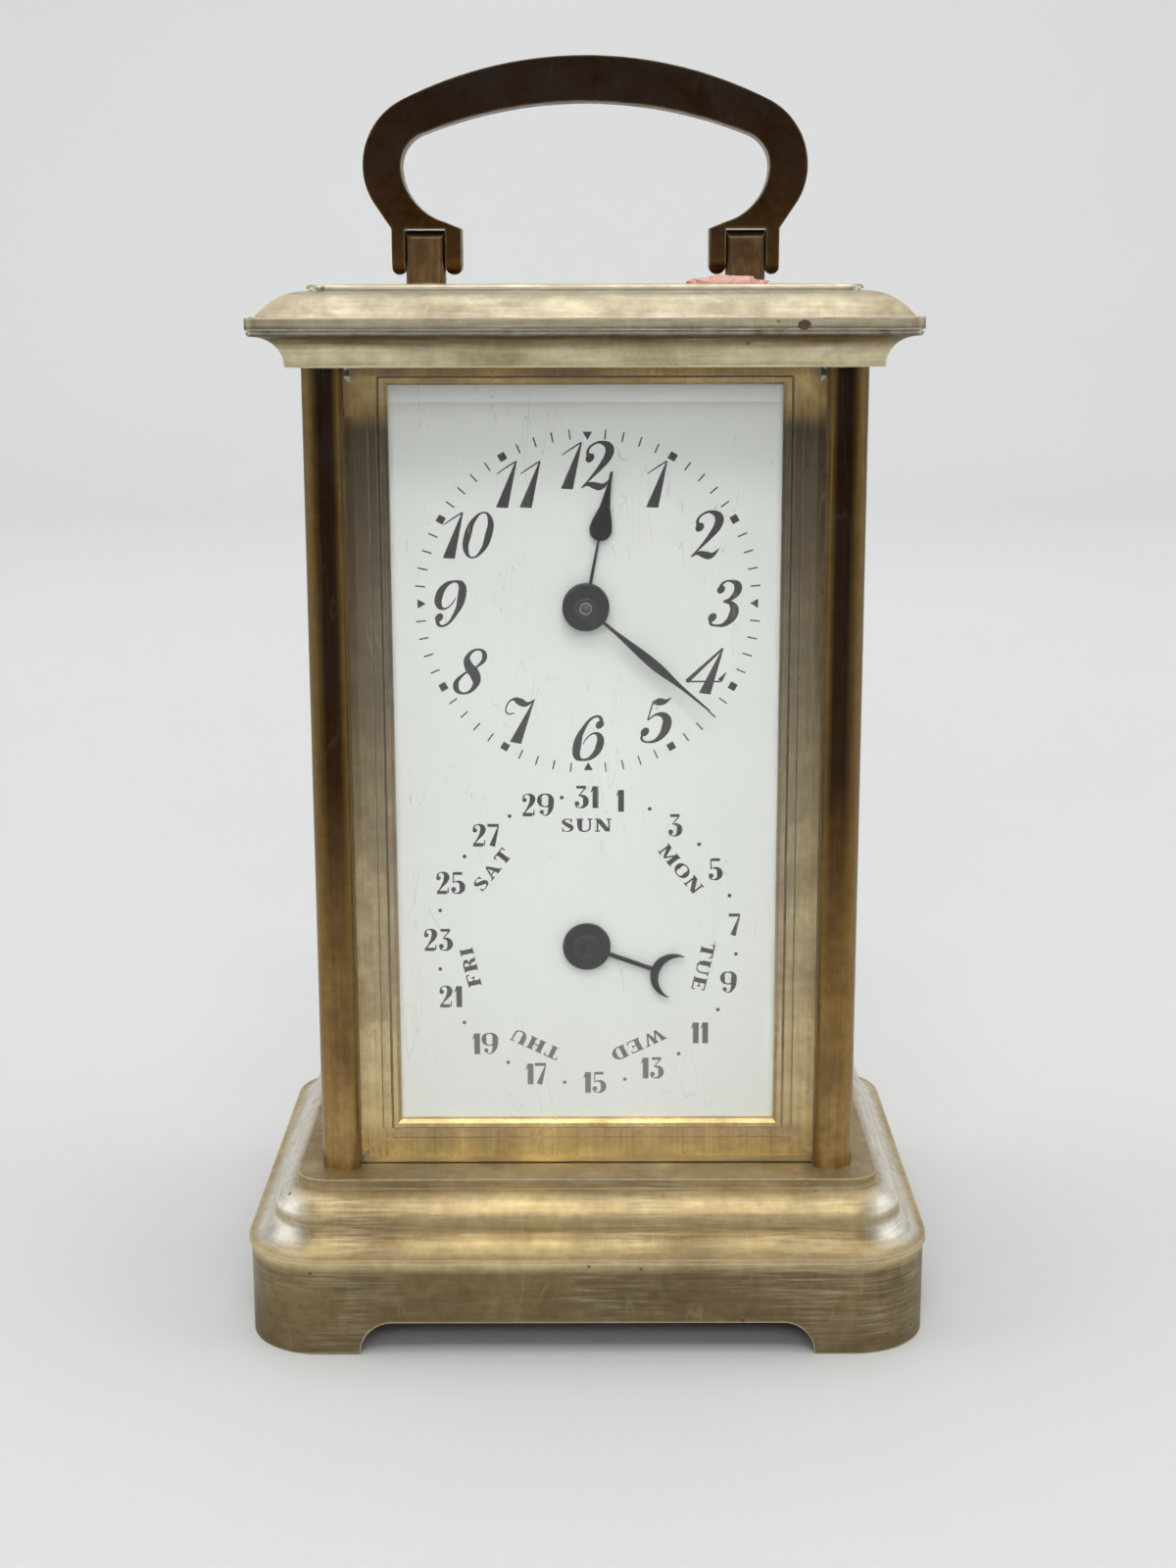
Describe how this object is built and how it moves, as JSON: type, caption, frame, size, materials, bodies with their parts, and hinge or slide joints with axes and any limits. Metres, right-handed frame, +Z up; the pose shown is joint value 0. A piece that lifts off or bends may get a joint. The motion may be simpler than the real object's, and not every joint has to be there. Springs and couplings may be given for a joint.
{
  "type": "carriage clock with calendar",
  "caption": "Glazed brass carriage clock on bracket feet: time dial over a calendar dial, folding handle, rear door, and a going train with a platform escapement.",
  "frame": {"origin": "middle of the base's underside, on the surface it stands on", "axes": "+X to the right of someone facing the dial, -Y is the dial's side, +Z up"},
  "size_m": [0.092, 0.0756, 0.169],
  "materials": {
    "case_brass": "aged, satin, darker in the recesses",
    "handle_brass": "dark, polished and worn",
    "mask_gilt": "gilt, satin",
    "clear_glass": "clear, bevelled",
    "dial_white": "white enamel, slightly grey with age",
    "steel": "polished",
    "black_steel": "blackened",
    "blued_steel": "blued",
    "movement_brass": "brushed"
  },
  "bodies": {
    "case": {"base_moulding": "case_brass", "column_front_left": "case_brass", "column_front_right": "case_brass", "column_rear_left": "case_brass", "column_rear_right": "case_brass", "column_screws": "steel", "lid_moulding": "case_brass", "lid_top_slab": "case_brass", "lid_glass": "clear_glass", "front_glass": "clear_glass", "left_glass": "clear_glass", "right_glass": "clear_glass", "handle_posts": "handle_brass", "dial_mask": "mask_gilt", "dial_plate": "dial_white", "dial_feet": "movement_brass", "front_plate": "movement_brass", "rear_plate": "movement_brass", "plate_pillars": "movement_brass", "movement_screws": "steel", "wheel_and_click_studs": "steel", "platform_plate": "movement_brass", "escape_potence": "movement_brass", "escape_bridge": "movement_brass", "balance_cock": "movement_brass", "hairspring": "blued_steel", "click_spring": "steel"},
    "handle": {"handle": "handle_brass", "handle_pins": "handle_brass"},
    "door": {"door_frame": "case_brass", "door_glass": "clear_glass", "door_knob": "case_brass"},
    "minute_hand_arbor": {"centre_arbor": "steel", "cannon_pinion": "steel", "minute_hand": "black_steel"},
    "minute_wheel": {"minute_wheel": "movement_brass"},
    "hour_hand_pipe": {"hour_wheel": "movement_brass", "hour_hand": "black_steel"},
    "calendar_idler": {"calendar_idler": "movement_brass"},
    "calendar_hand_arbor": {"calendar_wheel": "movement_brass", "calendar_hand": "black_steel"},
    "barrel": {"mainspring_barrel": "movement_brass", "barrel_cap": "movement_brass", "mainspring": "blued_steel"},
    "winding_arbor": {"barrel_arbor": "steel", "ratchet_wheel": "steel"},
    "click": {"click": "steel"},
    "intermediate_arbor": {"intermediate_wheel": "movement_brass", "intermediate_pinion": "steel"},
    "centre_pipe": {"centre_wheel": "movement_brass", "centre_pinion": "movement_brass"},
    "third_arbor": {"third_wheel": "movement_brass", "third_pinion": "steel"},
    "contrate_arbor": {"contrate_wheel": "movement_brass", "contrate_pinion": "steel"},
    "escape_arbor": {"escape_wheel": "movement_brass", "escape_pinion": "steel"},
    "lever": {"pallet_lever": "steel"},
    "balance": {"balance_wheel": "movement_brass", "balance_staff": "steel"}
  },
  "joints": [
    {"name": "handle_fold", "type": "hinge", "parent": "case", "child": "handle", "pos_m": [0, 0, 0.1433], "axis": [1, 0, 0], "range_deg": [-93, 93]},
    {"name": "door_swing", "type": "hinge", "parent": "case", "child": "door", "pos_m": [0.02895, 0.0257, 0.0222], "axis": [0, 0, -1], "range_deg": [0, 95]},
    {"name": "minute_hand_turn", "type": "hinge", "parent": "case", "child": "minute_hand_arbor", "pos_m": [0, 0, 0.0979], "axis": [0, 1, 0], "continuous": true},
    {"name": "minute_wheel_turn", "type": "hinge", "parent": "case", "child": "minute_wheel", "pos_m": [0.00338, 0, 0.10426], "axis": [0, 1, 0], "continuous": true},
    {"name": "hour_hand_turn", "type": "hinge", "parent": "case", "child": "hour_hand_pipe", "pos_m": [0, 0, 0.0979], "axis": [0, 1, 0], "continuous": true},
    {"name": "calendar_idler_turn", "type": "hinge", "parent": "case", "child": "calendar_idler", "pos_m": [0, 0, 0.0741], "axis": [0, 1, 0], "continuous": true},
    {"name": "calendar_hand_turn", "type": "hinge", "parent": "case", "child": "calendar_hand_arbor", "pos_m": [0, 0, 0.0514], "axis": [0, 1, 0], "continuous": true},
    {"name": "contrate_turn", "type": "hinge", "parent": "case", "child": "contrate_arbor", "pos_m": [0.0111, 0, 0.10469], "axis": [0, 1, 0], "continuous": true},
    {"name": "third_turn", "type": "hinge", "parent": "case", "child": "third_arbor", "pos_m": [0.0121, 0, 0.09326], "axis": [0, 1, 0], "continuous": true},
    {"name": "centre_turn", "type": "hinge", "parent": "case", "child": "centre_pipe", "pos_m": [0, 0, 0.0979], "axis": [0, 1, 0], "continuous": true},
    {"name": "intermediate_turn", "type": "hinge", "parent": "case", "child": "intermediate_arbor", "pos_m": [-0.00793, 0, 0.08569], "axis": [0, 1, 0], "continuous": true},
    {"name": "barrel_turn", "type": "hinge", "parent": "case", "child": "barrel", "pos_m": [0, 0, 0.06689], "axis": [0, 1, 0], "continuous": true},
    {"name": "escape_turn", "type": "hinge", "parent": "case", "child": "escape_arbor", "pos_m": [0.0111, 0.00521, 0.1185], "axis": [0, 0, 1], "continuous": true},
    {"name": "winding_turn", "type": "hinge", "parent": "case", "child": "winding_arbor", "pos_m": [0, 0, 0.06689], "axis": [0, 1, 0], "continuous": true},
    {"name": "click_lift", "type": "hinge", "parent": "case", "child": "click", "pos_m": [0.00715, 0.014, 0.07589], "axis": [0, -1, 0], "range_deg": [0, 15], "stiffness_Nm_per_rad": 0.0002},
    {"name": "lever_swing", "type": "hinge", "parent": "case", "child": "lever", "pos_m": [0.00584, 0.0033, 0.1185], "axis": [0, 0, 1], "range_deg": [-5, 5]},
    {"name": "balance_swing", "type": "hinge", "parent": "case", "child": "balance", "pos_m": [-0.00112, 0.00077, 0.1185], "axis": [0, 0, 1], "range_deg": [-150, 150], "stiffness_Nm_per_rad": 0.00001}
  ],
  "couplings": [
    {"joint": "minute_wheel_turn", "follows": "minute_hand_turn", "ratio": -0.33333},
    {"joint": "hour_hand_turn", "follows": "minute_hand_turn", "ratio": 0.083333},
    {"joint": "calendar_idler_turn", "follows": "minute_hand_turn", "ratio": -0.010753},
    {"joint": "calendar_hand_turn", "follows": "minute_hand_turn", "ratio": 0.0013441},
    {"joint": "third_turn", "follows": "contrate_turn", "ratio": -0.13333},
    {"joint": "centre_turn", "follows": "contrate_turn", "ratio": 0.016667},
    {"joint": "intermediate_turn", "follows": "contrate_turn", "ratio": -0.0027778},
    {"joint": "barrel_turn", "follows": "contrate_turn", "ratio": 0.00037037},
    {"joint": "escape_turn", "follows": "contrate_turn", "ratio": -8}
  ]
}
